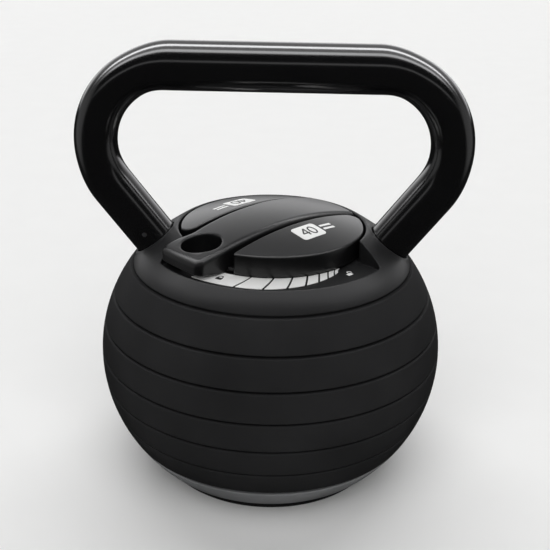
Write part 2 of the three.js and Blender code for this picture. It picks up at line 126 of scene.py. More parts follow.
class Skin:
    """Grid surfaces gathered into one closed mesh."""

    def __init__(self) -> None:
        """Starts with no points."""
        self.points: list[Array] = []
        self.quads: list[Array] = []
        self.count = 0

    def grid(self, surface: Array, wrap_rows: bool = False, wrap_columns: bool = False) -> "Skin":
        """Adds a grid of points, joining each cell's four corners.

        Args:
            surface: points shaped (rows, columns, 3).
            wrap_rows: joins the last row to the first.
            wrap_columns: joins the last column to the first.

        Returns:
            The skin itself.
        """
        rows, columns = surface.shape[:2]
        index = np.arange(rows * columns).reshape(rows, columns) + self.count
        if wrap_rows:
            index = np.vstack([index, index[:1]])
        if wrap_columns:
            index = np.hstack([index, index[:, :1]])
        cells = np.stack([index[:-1, :-1], index[:-1, 1:], index[1:, 1:], index[1:, :-1]], axis=-1)
        self.quads.append(cells.reshape(-1, 4))
        self.points.append(surface.reshape(-1, 3))
        self.count += rows * columns
        return self

    def build(self, name: str, sharp: float = 38.0) -> Object:
        """Makes the object: doubles merged, faces outward, smooth but for its sharp edges.

        Args:
            name: the object's name.
            sharp: edges bent by more than this many degrees stay sharp.

        Returns:
            The new object, linked to the scene.
        """
        mesh = bpy.data.meshes.new(name)
        mesh.from_pydata(np.vstack(self.points), [], np.vstack(self.quads).tolist())
        tidy_mesh(mesh, sharp)
        made = bpy.data.objects.new(name, mesh)
        bpy.context.scene.collection.objects.link(made)
        return made


def tidy_mesh(mesh: bpy.types.Mesh, sharp: float) -> None:
    """Merges doubles, drops flat faces, turns faces outward and sets the shading.

    Args:
        mesh: the mesh to tidy.
        sharp: edges bent by more than this many degrees stay sharp.
    """
    work = bmesh.new()
    work.from_mesh(mesh)
    bmesh.ops.remove_doubles(work, verts=work.verts, dist=2e-7)
    bmesh.ops.dissolve_degenerate(work, edges=work.edges, dist=1e-7)
    bmesh.ops.recalc_face_normals(work, faces=work.faces)
    work.to_mesh(mesh)
    work.free()
    mesh.polygons.foreach_set("use_smooth", np.ones(len(mesh.polygons), bool))
    mesh.set_sharp_from_angle(angle=math.radians(sharp))


def turned(outline: Array, segments: int = 192) -> Array:
    """A profile carried round the axis: (r, z) becomes (r cos a, r sin a, z).

    Args:
        outline: profile points, shaped (n, 2).
        segments: columns round the axis.

    Returns:
        A grid shaped (n, segments, 3).
    """
    angle = full_turn(segments)
    radius, height = outline[:, :1], outline[:, 1:]
    return np.stack([radius * np.cos(angle), radius * np.sin(angle), height + 0 * angle], axis=-1)


def turned_object(name: str, outline: Array, segments: int = 192, sharp: float = 38.0) -> Object:
    """A solid of revolution from a closed profile, or from one that starts and ends on the axis."""
    on_axis = outline[0, 0] == 0 and outline[-1, 0] == 0
    return Skin().grid(turned(outline, segments), wrap_rows=not on_axis, wrap_columns=True).build(name, sharp)


def inset(outline: Array, depth: float) -> Array:
    """A counter-clockwise outline moved inwards: each point goes depth along its inward normal."""
    along = np.roll(outline, -1, 0) - np.roll(outline, 1, 0)
    along /= np.maximum(np.linalg.norm(along, axis=1, keepdims=True), 1e-12)
    return outline + depth * np.stack([-along[:, 1], along[:, 0]], axis=-1)


def slab(outline: Array, bottom: Heights, top: Heights, edge: float, rows: int = 12) -> Skin:
    """A slab with a rounded top edge over a plan outline whose two halves face each other.

    Going up, each ring is the outline inset by e(1 - cos a) and lifted by e sin a through the
    rounding, then drawn in toward the line midway between the halves, at the top's height.

    Args:
        outline: counter-clockwise plan points; point i faces point n - 1 - i.
        bottom: height of the underside at a plan point.
        top: height of the top at a plan point.
        edge: radius of the top edge's rounding.
        rows: rings over the top.

    Returns:
        The skin of the slab.
    """
    small = min(0.4 * MM, edge)
    under, over = inset(outline, small), inset(outline, edge)

    def drawn_in(ring: Array, share: float, height: Heights) -> Array:
        """A ring moved toward the middle line by a share of its way."""
        plan = ring + (ring[::-1] - ring) / 2 * share
        return np.column_stack([plan, height(plan[:, 0], plan[:, 1])])

    floor = bottom(outline[:, 0], outline[:, 1])
    roof = top(outline[:, 0], outline[:, 1])
    rings = [drawn_in(under, share, bottom) for share in (0.9, 0.5)]
    rings.append(np.column_stack([under, floor]))
    for rise in np.linspace(0, 1, 7):
        rings.append(np.column_stack([outline, floor + small + rise * (roof - edge - floor - small)]))
    for angle in np.radians(np.linspace(15, 90, 6)):
        ring = inset(outline, edge * (1 - math.cos(angle)))
        rings.append(np.column_stack([ring, top(ring[:, 0], ring[:, 1]) - edge * (1 - math.sin(angle))]))
    rings += [drawn_in(over, share, top) for share in np.linspace(0, 0.92, rows)[1:]]
    grid = np.stack(rings)
    half = len(outline) // 2
    skin = Skin().grid(grid, wrap_columns=True)
    for ring in (grid[0], grid[-1]):
        skin.grid(np.stack([ring[:half], ring[half:][::-1]]))
    return skin


def ribbon(path: Array, width: float, height: Heights, thickness: float, closed: bool = False) -> Skin:
    """A flat printed stroke: a small rectangle carried along a plan path, lying on a surface.

    Args:
        path: plan points of the stroke's middle line.
        width: the stroke's width.
        height: height of the surface at a plan point.
        thickness: how far the stroke stands above the surface.
        closed: joins the path's end to its start.

    Returns:
        The skin of the stroke.
    """
    along = np.roll(path, -1, 0) - np.roll(path, 1, 0) if closed else np.gradient(path, axis=0)
    along /= np.linalg.norm(along, axis=1, keepdims=True)
    side = np.stack([-along[:, 1], along[:, 0]], axis=-1) * width / 2
    corners = []
    for shift, lift in ((side, 1), (-side, 1), (-side, -1), (side, -1)):
        plan = path + shift
        corners.append(np.column_stack([plan, height(plan[:, 0], plan[:, 1]) + lift * thickness]))
    grid = np.stack(corners, axis=1)
    skin = Skin().grid(grid, wrap_rows=closed, wrap_columns=True)
    if not closed:
        for end in (grid[0], grid[-1]):
            skin.grid(np.stack([end[:2], end[2:][::-1]]))
    return skin


def joined(name: str, skins: Sequence[Skin], sharp: float = 38.0) -> Object:
    """Several skins made into one object."""
    whole = Skin()
    for skin in skins:
        whole.quads += [quads + whole.count for quads in skin.quads]
        whole.points += skin.points
        whole.count += skin.count
    return whole.build(name, sharp)


def cut_away(piece: Object, cutter: Object, sharp: float) -> None:
    """Takes a closed cutter out of a piece for good, and removes the cutter.

    Args:
        piece: the piece that is cut.
        cutter: the closed object that is subtracted.
        sharp: edges bent by more than this many degrees stay sharp.
    """
    step = piece.modifiers.new("cut", "BOOLEAN")
    step.operation, step.solver, step.object = "DIFFERENCE", "EXACT", cutter
    bpy.context.view_layer.update()
    result = bpy.data.meshes.new_from_object(piece.evaluated_get(bpy.context.evaluated_depsgraph_get()))
    piece.modifiers.clear()
    old, piece.data = piece.data, result
    bpy.data.meshes.remove(old)
    bpy.data.objects.remove(cutter)
    tidy_mesh(piece.data, sharp)


class Grain(Enum):
    """Fine surface structure of a finish."""

    POWDER = "fine pebbled coating"
    PAINT = "glossy paint with a soft ripple"
    MOULDED = "spark-eroded moulded plastic"
    TURNED = "rings left by turning"
    RUBBER = "matt moulded rubber"
    PRINT = "flat printed film"


@dataclass(frozen=True)
class GrainLook:
    """Size and depth of a grain."""

    scale: float
    strength: float
    distance: float


GRAINS = {
    Grain.POWDER: GrainLook(1500, 0.35, 0.00006),
    Grain.PAINT: GrainLook(260, 0.10, 0.00010),
    Grain.MOULDED: GrainLook(1900, 0.30, 0.00005),
    Grain.TURNED: GrainLook(420, 0.25, 0.00005),
    Grain.RUBBER: GrainLook(1100, 0.45, 0.00010),
    Grain.PRINT: GrainLook(800, 0.08, 0.00003),
}


def fill(node: Node, values: dict[str, object]) -> Node:
    """Sets a node's inputs by name and returns the node."""
    for name, value in values.items():
        node.inputs[name].default_value = value
    return node


def mapped(tree: NodeTree, value: NodeSocket, source: Sequence[float], target: Sequence[float],
           eased: bool = False) -> NodeSocket:
    """Maps a value from one range to another, held at both ends.

    Args:
        tree: the node tree.
        value: the socket to map.
        source: its range.
        target: the range it is mapped to.
        eased: starts and ends softly.

    Returns:
        The result's socket.
    """
    node = tree.nodes.new("ShaderNodeMapRange")
    node.interpolation_type = "SMOOTHSTEP" if eased else "LINEAR"
    fill(node, dict(zip(("From Min", "From Max", "To Min", "To Max"), (*source, *target))))
    tree.links.new(value, node.inputs["Value"])
    return node.outputs["Result"]


@dataclass(frozen=True)
class Finish:
    """A surface finish and how it is mixed."""

    name: str
    colour: tuple[float, float, float]
    roughness: float
    grain: Grain
    metallic: float = 0.0
    specular: float = 0.5
    wear: tuple[float, float, float] | None = None
    variation: float = 0.16
    roughness_swing: float = 0.06

    def material(self) -> bpy.types.Material:
        """The finish as a node material, made once."""
        return bpy.data.materials.get(self.name) or self._mixed()

    def _mixed(self) -> bpy.types.Material:
        """Builds the nodes: broad tone drift, grain bump, uneven gloss and worn edges.

        Returns:
            The new material.
        """
        look = GRAINS[self.grain]
        material = bpy.data.materials.new(self.name)
        material.use_nodes = True
        tree = material.node_tree
        nodes, links = tree.nodes, tree.links
        shader = fill(nodes["Principled BSDF"], {"Metallic": self.metallic, "Specular IOR Level": self.specular})
        place = nodes.new("ShaderNodeTexCoord").outputs["Object"]

        drift = fill(nodes.new("ShaderNodeTexNoise"), {"Scale": 22, "Detail": 4})
        links.new(place, drift.inputs["Vector"])
        tone = nodes.new("ShaderNodeValToRGB")
        for stop, position, swing in zip(tone.color_ramp.elements, (0.3, 0.7), (-self.variation, self.variation)):
            stop.position = position
            stop.color = (*[min(1, c * (1 + swing)) for c in self.colour], 1)
        links.new(drift.outputs["Fac"], tone.inputs["Fac"])
        colour = tone.outputs["Color"]

        if self.wear:
            edge = nodes.new("ShaderNodeNewGeometry").outputs["Pointiness"]
            worn = nodes.new("ShaderNodeMix")
            worn.data_type = "RGBA"
            worn.inputs["B"].default_value = (*self.wear, 1)
            links.new(mapped(tree, edge, (0.53, 0.60), (0, 0.5)), worn.inputs["Factor"])
            links.new(colour, worn.inputs["A"])
            colour = worn.outputs["Result"]
        links.new(colour, shader.inputs["Base Color"])

        if self.grain is Grain.TURNED:
            fine = fill(nodes.new("ShaderNodeTexWave"), {"Distortion": 0.4})
            fine.wave_type, fine.rings_direction = "RINGS", "Z"
        else:
            fine = fill(nodes.new("ShaderNodeTexNoise"), {"Detail": 5, "Roughness": 0.6})
        fill(fine, {"Scale": look.scale})
        links.new(place, fine.inputs["Vector"])
        gloss = (max(0.02, self.roughness - self.roughness_swing), min(1.0, self.roughness + self.roughness_swing))
        links.new(mapped(tree, fine.outputs["Fac"], (0, 1), gloss), shader.inputs["Roughness"])

        bump = fill(nodes.new("ShaderNodeBump"), {"Strength": look.strength, "Distance": look.distance})
        links.new(fine.outputs["Fac"], bump.inputs["Height"])
        links.new(bump.outputs["Normal"], shader.inputs["Normal"])
        return material


PLATE_COATING = Finish("plate_coating_look", (0.0150, 0.0150, 0.0155), 0.66, Grain.POWDER, specular=0.06,
                       wear=(0.034, 0.034, 0.035))
HANDLE_PAINT = Finish("handle_paint_look", (0.0018, 0.0018, 0.002), 0.15, Grain.PAINT, specular=1.0,
                      roughness_swing=0.03)
COVER_PLASTIC = Finish("cover_plastic_look", (0.0115, 0.0115, 0.012), 0.42, Grain.MOULDED, specular=0.2,
                       wear=(0.03, 0.03, 0.031))
KNOB_PLASTIC = Finish("knob_plastic_look", (0.0025, 0.0025, 0.0027), 0.31, Grain.MOULDED, wear=(0.011, 0.011, 0.012))
LEVER_PLASTIC = Finish("lever_plastic_look", (0.0035, 0.0035, 0.0038), 0.34, Grain.MOULDED,
                       wear=(0.016, 0.016, 0.017))
# Painted floor reflection and bounce light: the base is dark, and its grey colour copies the light that the pale
# floor throws on it. The lighter worn edges are real wear.
BASE_PAINTED_REFLECTION = Finish("base_painted_reflection_look", (0.16, 0.162, 0.166), 0.38, Grain.POWDER, wear=(0.30, 0.30, 0.305))
FOOT_RUBBER = Finish("foot_rubber_look", (0.008, 0.008, 0.008), 0.85, Grain.RUBBER, specular=0.2)
TURNED_STEEL = Finish("turned_steel_look", (0.42, 0.425, 0.43), 0.32, Grain.TURNED, metallic=1.0,
                      wear=(0.62, 0.62, 0.62))
ZINC_STEEL = Finish("zinc_steel_look", (0.50, 0.51, 0.53), 0.30, Grain.TURNED, metallic=1.0, wear=(0.7, 0.7, 0.7))
BRONZE = Finish("bush_bronze_look", (0.42, 0.26, 0.10), 0.34, Grain.TURNED, metallic=1.0, wear=(0.6, 0.42, 0.2))
NYLON = Finish("washer_nylon_look", (0.62, 0.60, 0.54), 0.5, Grain.MOULDED)
WHITE_PRINT = Finish("white_print_look", (0.88, 0.88, 0.87), 0.45, Grain.PRINT, variation=0.04)
DARK_PRINT = Finish("dark_print_look", (0.012, 0.012, 0.013), 0.5, Grain.PRINT)


def dress(piece: Object, finish: Finish) -> None:
    """Gives a piece one finish all over."""
    piece.data.materials.clear()
    piece.data.materials.append(finish.material())


def place_piece(piece: Object, finish: Finish, body: str, nodes: Sequence[str] = ()) -> None:
    """Dresses a new piece, sets it riding on its body and hides the CAD nodes that it stands for.

    Args:
        piece: the new piece.
        finish: its finish.
        body: the body it moves with.
        nodes: the CAD nodes it replaces.
    """
    dress(piece, finish)
    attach(piece, body)
    if nodes:
        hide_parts(*nodes)
    LOG.info("%s: %d faces, rides on %s", piece.name, len(piece.data.polygons), body)


@dataclass(frozen=True)
class BallCurve:
    """The ellipse of revolution that the base, the plates and the cover follow."""

    radius: float = 109.74 * MM
    half_height: float = 103 * MM
    centre: float = 79 * MM

    def at(self, height: Array | float) -> Array:
        """Radius at a height: R sqrt(1 - ((z - c) / h)^2)."""
        return self.radius * np.sqrt(1 - ((np.asarray(height) - self.centre) / self.half_height) ** 2)

    def points(self, *heights: float) -> list[tuple[float, float]]:
        """Profile points (r, z) on the curve at some heights."""
        return [(float(self.at(height)), float(height)) for height in heights]


BALL = BallCurve()


@dataclass
class PlateStack:
    """The six ring plates."""

    count: int = 6
    bore: float = 12.4 * MM
    spigot: float = 23.9 * MM
    spigot_height: float = 1.5 * MM
    play: float = 0.3 * MM
    edge: float = 1.4 * MM
    seam_height: float = 0.9 * MM
    seam_depth: float = 3.2 * MM

    def profile(self, bottom: float, top: float) -> Array:
        """Closed profile of one plate.

        Args:
            bottom: height of its underside.
            top: height of its top face, without the spigot.

        Returns:
            Points (r, z) that follow the ball between two rounded corners, with a step for the seam.
        """
        depth = self.spigot_height + self.play
        shoulder = top - self.seam_height
        inner = float(BALL.at(top)) - self.seam_depth
        side = np.linspace(bottom + 3 * MM, shoulder - 3 * MM, 9)
        socket = self.spigot + 0.4 * MM
        head = top + self.spigot_height
        corners = [(self.bore, bottom + depth), (socket, bottom + depth), (socket, bottom),
                   *BALL.points(bottom, *side, shoulder), (inner, shoulder), (inner, top), (self.spigot, top),
                   (self.spigot, head), (self.bore, head)]
        small = 0.3 * MM
        radii = [0.4 * MM, small, 0.5 * MM, 0.7 * MM, *[0.0] * len(side), self.edge, small, small, small,
                 0.4 * MM, 0.5 * MM]
        return rounded_path(corners, radii, steps=7)

    def build(self) -> None:
        """Makes the plates where their CAD nodes stand."""
        for number in range(1, self.count + 1):
            low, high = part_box(f"plate_{number}")
            outline = self.profile(low[2], high[2] - self.spigot_height)
            piece = turned_object(f"ring_plate_{number}", outline, 224)
            place_piece(piece, PLATE_COATING, f"plate_{number}_body", [f"plate_{number}"])


@dataclass
class Base:
    """The tapered base and its foot."""

    land_radius: float = 91 * MM
    side_top: float = 24.5 * MM
    pocket_radius: float = 24.3 * MM
    barrel_radius: float = 16 * MM
    pocket_floor: float = 10.5 * MM
    flange_seat: float = 20.6 * MM

    def build(self) -> None:
        """Makes the base plate and the foot, and dresses the lock socket."""
        low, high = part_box("base_plate")
        side = np.linspace(low[2] + 2 * MM, self.side_top - 2.4 * MM, 9)
        corners = [(0.0, low[2]), *BALL.points(low[2], *side, self.side_top),
                   (self.land_radius, self.side_top + 0.2 * MM), (self.land_radius, high[2]),
                   (self.pocket_radius, high[2]), (self.pocket_radius, self.flange_seat),
                   (self.barrel_radius, self.flange_seat), (self.barrel_radius, self.pocket_floor),
                   (0.0, self.pocket_floor)]
        radii = [0, 0.8 * MM, *[0.0] * len(side), 1.2 * MM, 0.2 * MM, 0.5 * MM, 0.5 * MM, 0.3 * MM, 0.4 * MM,
                 0.3 * MM, 0]
        plate = turned_object("base_ring", rounded_path(corners, radii), 224)
        place_piece(plate, BASE_PAINTED_REFLECTION, "base", ["base_plate"])

        low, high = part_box("foot_pad")
        top_radius = float(BALL.at(high[2])) - 0.6 * MM
        grooves = [(38 * MM, 0.0), (38.6 * MM, 0.7 * MM), (40.4 * MM, 0.7 * MM), (41 * MM, 0.0)]
        corners = [(0.0, 0.0), *grooves, (72.4 * MM, 0.0), (top_radius, high[2]), (0.0, high[2])]
        radii = [0, 0.2 * MM, 0.3 * MM, 0.3 * MM, 0.2 * MM, 0.9 * MM, 0.5 * MM, 0]
        foot = turned_object("foot_ring", rounded_path(corners, radii), 224)
        place_piece(foot, FOOT_RUBBER, "base", ["foot_pad"])
        dress(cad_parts["lock_socket"], TURNED_STEEL)


@dataclass
class Handle:
    """The bent bar: straight grip, two bends and two legs that lean in to the cover."""

    grip_height: float = 260 * MM
    grip_half: float = 61.5 * MM
    bend_radius: float = 47 * MM
    leg_lean: float = math.radians(37.2)
    grip_radius: float = 14.68 * MM
    bend_bar_radius: float = 13.22 * MM
    leg_radius: float = 14 * MM
    leg_end_height: float = 150.4 * MM

    @property
    def bend_centre(self) -> Array:
        """Centre of the right bend, (x, z)."""
        return np.array([self.grip_half, self.grip_height - self.bend_radius])

    @property
    def leg_top(self) -> Array:
        """Where the right leg meets its bend, (x, z)."""
        return self.bend_centre + self.bend_radius * np.array([math.cos(self.leg_lean), -math.sin(self.leg_lean)])

    def leg_x(self, height: Array | float) -> Array:
        """x of the right leg's centre line at a height."""
        return self.leg_top[0] - (self.leg_top[1] - np.asarray(height)) * math.tan(self.leg_lean)

    def leg_distance(self, x: Array, y: Array, z: Array) -> Array:
        """Distance of points from the nearer leg's centre line, using |x| for both legs."""
        out = (np.abs(x) - self.leg_x(z)) * math.cos(self.leg_lean)
        return np.hypot(out, y)

    def stations(self) -> tuple[Array, Array, Array]:
        """Centre line from the right foot to the left one.

        Returns:
            Points (x, z), the outward normal's angle at each, and the bar's radius at each.
        """
        leg_z = np.linspace(self.leg_end_height, self.leg_top[1], 14)[:-1]
        leg = np.column_stack([self.leg_x(leg_z), leg_z])
        swing = np.linspace(-self.leg_lean, math.pi / 2, 44)
        bend = self.bend_centre + self.bend_radius * np.column_stack([np.cos(swing), np.sin(swing)])
        grip_x = np.linspace(self.grip_half, 0, 16)[1:]
        grip = np.column_stack([grip_x, np.full_like(grip_x, self.grip_height)])
        points = np.vstack([leg, bend, grip])
        angle = np.concatenate([np.full(len(leg), -self.leg_lean), swing, np.full(len(grip), math.pi / 2)])
        along = np.concatenate([[0], np.cumsum(np.linalg.norm(np.diff(points, axis=0), axis=1))])
        start, end = along[len(leg)], along[len(leg) + len(bend) - 1]
        ease = np.clip((along - start) / (end - start), 0, 1)
        ends = self.leg_radius + (self.grip_radius - self.leg_radius) * ease
        squeeze = np.clip(1.5 * np.sin(np.pi * ease), 0, 1)
        radius = ends + (self.bend_bar_radius - ends) * squeeze * squeeze * (3 - 2 * squeeze)
        mirror = slice(-2, None, -1)
        points = np.vstack([points, points[mirror] * [-1, 1]])
        angle = np.concatenate([angle, math.pi - angle[mirror]])
        return points, angle, np.concatenate([radius, radius[mirror]])

    def build(self) -> None:
        """Makes the bar: a circle carried along the centre line, closed by two domed caps."""
        points, angle, radius = self.stations()
        around = full_turn(72)
        scale = np.concatenate([[0, 0.86], np.ones(len(points)), [0.86, 0]])
        points, angle, radius = (np.concatenate([a[:1], a[:1], a, a[-1:], a[-1:]]) for a in (points, angle, radius))
        out = (radius * scale)[:, None] * np.cos(around)
        grid = np.stack([points[:, :1] + out * np.cos(angle)[:, None], (radius * scale)[:, None] * np.sin(around),
                         points[:, 1:] + out * np.sin(angle)[:, None]], axis=-1)
        bar = Skin().grid(grid, wrap_columns=True).build("bent_bar", sharp=60)
        place_piece(bar, HANDLE_PAINT, "head", ["handle_bar"])


@dataclass
class Cover:
    """The domed cover with the knob's well, the lever's track and the two leg holes."""

    handle: Handle
    bore: float = 15.6 * MM
    floor: float = 148.5 * MM
    well: float = 58.7 * MM
    track: float = 76.6 * MM
    wall_offset: float = 19.2 * MM
    lock_angle: float = -135.0
    open_angle: float = -45.0
    rim: float = 87.6 * MM
    crest: float = 162 * MM
    skirt: float = 139.8 * MM
    inside: float = 83.9 * MM
    ceiling: float = 143.9 * MM
    corner: float = 1.0 * MM
    lip: float = 1.3 * MM
    bore_step: float = 0.5 * MM
    ring_radius: float = 16.2 * MM
    ring_height: float = 0.5 * MM
    columns: int = 1080

    def dome(self, radius: Array) -> Array:
        """Height of the outside: a slope that rolls over at the rim.

        With s the share of the way from the well to the rim, z = crest - a s^1.08 - b s^9.
        """
        share = np.clip((radius - 60 * MM) / (self.rim - 60 * MM), 0, 1)
        fall = self.crest - self.skirt
        return self.crest - 0.86 * fall * share**1.08 - 0.14 * fall * share**9

    def floor_edge(self, degrees: Array) -> Array:
        """Radius at which the floor ends, for each angle.

        It is the well's radius, the track's radius, or between them the end wall, a line parallel to
        the lever's side: offset / sin(angle from the lever). A running mean rounds the corners.
        """
        past = np.where(degrees < -90, self.lock_angle - degrees, degrees - self.open_angle)
        past = np.where(past > 180, 360 - past, past)
        line = self.wall_offset / np.sin(np.radians(np.clip(past, 0.5, 90)))
        edge = np.where(past <= 0, self.track, np.clip(line, self.well, self.track))
        spread = np.hanning(19)
        return np.convolve(np.concatenate([edge[-9:], edge, edge[:9]]), spread / spread.sum(), "valid")

    def surface(self) -> Array:
        """The whole skin as a grid: one closed profile for each angle.

        Returns:
            Points shaped (profile, angle, 3).
        """
        degrees = np.linspace(-270, 90, self.columns, endpoint=False)
        degrees = np.where(degrees < -180, degrees + 360, degrees)
        edge = self.floor_edge(degrees)[None]
        flat = np.ones_like(edge)
        crest, outer = self.dome(edge), edge + self.lip
        start = self.bore + self.bore_step
        across, arc, rise, bend, slope = (np.linspace(0, 1, count)[:, None] for count in (9, 5, 6, 7, 44))
        arc, rise, bend = np.radians(90 * arc[1:]), rise[1:], bend[1:]

        def curved(first: Array, middle: Array, last: Array) -> Array:
            """The lip's rounding: (1 - t)^2 first + 2 t (1 - t) middle + t^2 last."""
            return (1 - bend) ** 2 * first + 2 * bend * (1 - bend) * middle + bend**2 * last

        floor_r = start + across * (edge - self.corner - start)
        wall_low = self.floor + self.corner
        dome_r = outer + slope[1:] ** 0.9 * (self.rim - 0.02 * MM - outer)
        parts = [(floor_r, np.full_like(floor_r, self.floor)),
                 (edge - self.corner * (1 - np.sin(arc)), wall_low - self.corner * np.cos(arc) * flat),
                 (edge + 0 * rise, wall_low + rise * (crest - self.lip - wall_low)),
                 (curved(edge, edge, outer), curved(crest - self.lip, crest, self.dome(outer))),
                 (dome_r, self.dome(dome_r))]
        under = ((self.rim, self.skirt + 0.35 * MM), (self.rim - 0.2 * MM, self.skirt), (self.inside, self.skirt),
                 (self.inside, self.ceiling), (self.bore, self.ceiling), (self.bore, self.floor - self.bore_step))
        parts += [(radius * flat, height * flat) for radius, height in under]
        radius, height = (np.vstack(column) for column in zip(*parts))
        x, y = radius * np.cos(np.radians(degrees)), radius * np.sin(np.radians(degrees))
        ring = np.exp(-(((self.handle.leg_distance(x, y, height) - self.ring_radius) / (1.0 * MM)) ** 2))
        on_top = (height > self.skirt + 1 * MM) & (radius > outer)
        return np.stack([x, y, height + self.ring_height * ring * on_top], axis=-1)

    def leg_room(self, side: int) -> Skin:
        """A cylinder along one leg, a little wider than the bar."""
        around = full_turn(96)
        radius = self.handle.leg_radius + 0.7 * MM
        lean = self.handle.leg_lean
        out, across = (np.outer([0, 1, 1, 0], wave(around)) * radius for wave in (np.cos, np.sin))
        middle = np.array([[146.5], [146.5], [185.0], [185.0]]) * MM
        x = side * (self.handle.leg_x(middle) + out * math.cos(lean))
        grid = np.stack([x, across, middle - out * math.sin(lean)], axis=-1)
        return Skin().grid(grid, wrap_columns=True)

    def build(self) -> None:
        """Makes the cover and cuts the leg holes."""
        cover = Skin().grid(self.surface(), wrap_rows=True, wrap_columns=True).build("domed_cover", sharp=32)
        cut_away(cover, joined("cutter", [self.leg_room(-1), self.leg_room(1)]), sharp=32)
        place_piece(cover, COVER_PLASTIC, "head", ["top_cover"])


@dataclass
class Scale:
    """The white crescent on the track's floor, in blocks that shrink toward the unlocked end."""

    inner: float = 56.6 * MM
    widest: float = 72.2 * MM
    start: float = -126.6
    first_end: float = -103.0
    first_width: float = 13.4
    shrink: float = 0.835
    tip: float = -40.0
    slant: float = 5.0
    gap: float = 1.25

    def outer(self, degrees: Array) -> Array:
        """Outer radius: full up to -95 degrees, then closing on the inner circle with power 1.6."""
        share = np.clip((degrees + 95) / (self.tip + 95), 0, 1)
        return self.widest - (self.widest - self.inner - 0.4 * MM) * share**1.6

    def blocks(self) -> list[tuple[float, float]]:
        """Start and end angle of each block: widths fall by a constant ratio."""
        ends = self.first_end + self.first_width * np.cumsum(self.shrink ** np.arange(7))
        edges = [self.start, self.first_end, *np.minimum(ends, self.tip).tolist()]
        return [(a, b) for a, b in zip(edges, edges[1:]) if b - a > 1.5]

    def block(self, start: float, end: float, low: float, high: float) -> Skin:
        """One block: a strip between two slanted dividers, from the inner circle to the outer curve."""
        across = np.linspace(0, 1, 12)[:, None]
        out = np.linspace(0, 1, 7)[None]
        angle = start + self.gap / 2 + across * (end - start - self.gap) + self.slant * (0.5 - out)
        radius = self.inner + out * (self.outer(angle) - self.inner)
        plan = polar(radius, angle)
        sheets = [np.concatenate([plan, np.full(plan.shape[:2] + (1,), z)], -1) for z in (low, high)]
        skin = Skin().grid(sheets[0]).grid(sheets[1])
        border = [np.concatenate([s[0], s[1:, -1], s[-1, -2::-1], s[-2:0:-1, 0]]) for s in sheets]
        return skin.grid(np.stack(border), wrap_columns=True)

    def padlock(self, radius: float, degrees: float, size: float, opened: bool, height: float) -> list[Skin]:
        """A padlock sign: a filled body and a bent shackle, which stands to one side when open.

        Args:
            radius: distance of the sign from the axis.
            degrees: angle of the sign.
            size: width of the lock's body.
            opened: whether the shackle is open.
            height: the floor that the sign is printed on.

        Returns:
            The skins of the sign.
        """
        ground: Heights = lambda x, y: np.full(np.shape(x), height)
        sweep = np.radians(np.linspace(0, 180, 13))
        shackle = np.column_stack([0.32 * np.cos(sweep), 0.42 + 0.32 * np.sin(sweep)])
        foot, shift = (0.25, 0.5) if opened else (0.1, 0.0)
        shackle = np.vstack([[0.32, 0.1], shackle, [-0.32, foot]]) + [shift, 0]
        body = np.column_stack([np.linspace(-0.5, 0.5, 5), np.full(5, -0.2)])
        centre = polar(radius, degrees)
        return [ribbon(turn_plan(path * size, degrees + 90) + centre, width * size, ground, PRINT_THICKNESS)
                for path, width in ((body, 0.7), (shackle, 0.17))]

    def build(self) -> None:
        """Makes the crescent, its closed padlock in dark print and the open one in white."""
        low, high = (corner[2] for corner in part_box("scale_ring"))
        skins = [self.block(a, b, low, high) for a, b in self.blocks()]
        skins += self.padlock(65.6 * MM, -44.5, 3.7 * MM, True, low)
        crescent = joined("scale_crescent", skins)
        place_piece(crescent, WHITE_PRINT, "head", ["scale_ring"])
        sign = joined("scale_lock_sign", self.padlock(64.5 * MM, -116, 4.0 * MM, False, high))
        place_piece(sign, DARK_PRINT, "head")


HALVES = (("front", 0.0), ("rear", 180.0))


